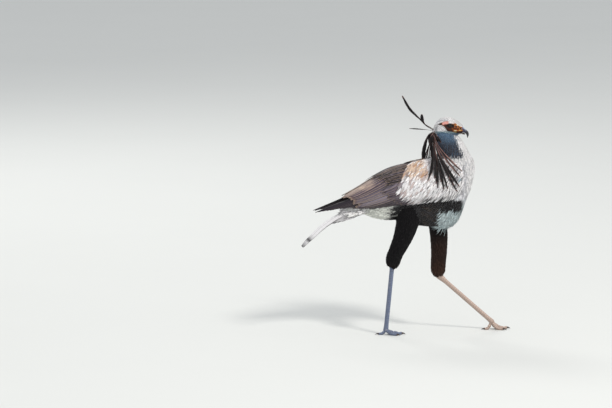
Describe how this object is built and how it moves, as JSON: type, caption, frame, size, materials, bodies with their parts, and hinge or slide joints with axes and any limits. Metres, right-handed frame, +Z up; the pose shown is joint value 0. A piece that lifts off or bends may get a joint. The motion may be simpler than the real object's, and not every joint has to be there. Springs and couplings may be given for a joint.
{
  "type": "secretary bird",
  "caption": "Life-size still model of a long-legged bird of prey in mid-stride, with folded wings, a hooked bill and a crest of long feathers.",
  "frame": {"origin": "on the floor, under the middle of the bird's bounding box", "axes": "+Z up, +X the way the bird faces and walks, +Y the bird's left side"},
  "size_m": [0.9304, 0.2391, 1.0302],
  "materials": {
    "grey_plumage": "soft feathers",
    "black_plumage": "soft black feathers",
    "white_plumage": "soft white feathers",
    "bill": "satin horn",
    "horn": "satin horn",
    "eye": "wet gloss",
    "scales": "dry scaled skin"
  },
  "bodies": {
    "root": {"head": "white_plumage", "bill_upper": "bill", "bill_lower": "bill", "eye_left": "eye", "eye_right": "eye", "neck": "white_plumage", "trunk": "grey_plumage", "wing_left": "grey_plumage", "wing_right": "grey_plumage", "tail": "white_plumage", "thigh_left": "black_plumage", "thigh_right": "black_plumage", "shank_left": "scales", "shank_right": "scales", "foot_left": "scales", "foot_right": "scales", "claw_left_inner": "horn", "claw_left_middle": "horn", "claw_left_outer": "horn", "claw_left_hind": "horn", "claw_right_inner": "horn", "claw_right_middle": "horn", "claw_right_outer": "horn", "claw_right_hind": "horn"}
  },
  "joints": []
}
